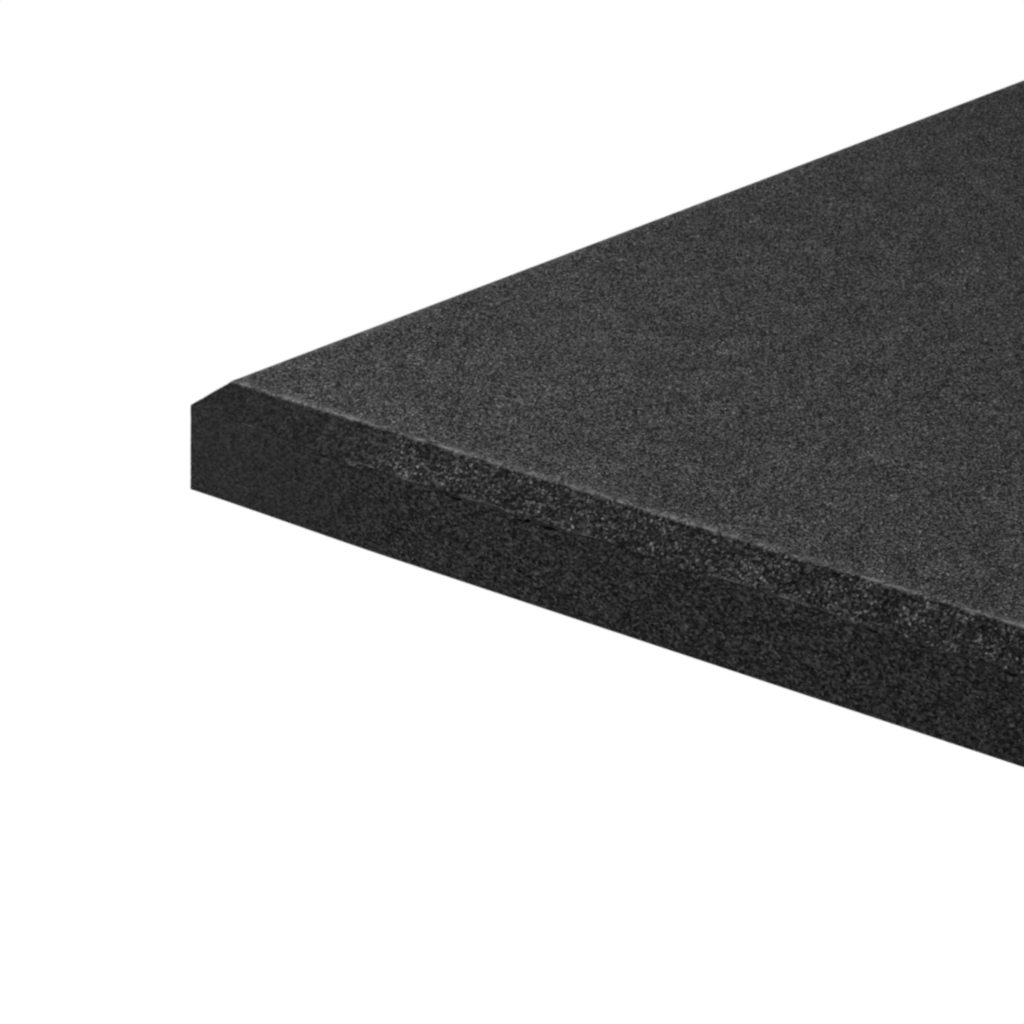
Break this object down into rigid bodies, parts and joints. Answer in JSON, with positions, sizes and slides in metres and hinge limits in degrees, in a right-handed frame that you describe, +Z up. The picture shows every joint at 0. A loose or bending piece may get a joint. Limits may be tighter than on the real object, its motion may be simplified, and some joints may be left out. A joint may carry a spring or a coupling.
{
  "type": "balance pad",
  "caption": "Flat rectangular foam balance pad, black, laminated from a bevelled upper sheet and a straight-cut block, with a fine-grained skin on both faces.",
  "frame": {"origin": "centre of the underside, where the pad rests on the floor", "axes": "+X along the length, +Y along the width, +Z up out of the face that is stood on"},
  "size_m": [0.5, 0.41, 0.038],
  "materials": {
    "moulded_skin": "matte, fine moulded grain",
    "upper_foam": "matte, coarse cut cells",
    "adhesive": "satin",
    "base_foam": "matte, fine cut cells",
    "underside_skin": "matte, fine moulded grain"
  },
  "bodies": {
    "root": {"top_skin": "moulded_skin", "upper_foam": "upper_foam", "bond_film": "adhesive", "base_foam": "base_foam", "bottom_skin": "underside_skin"}
  },
  "joints": []
}
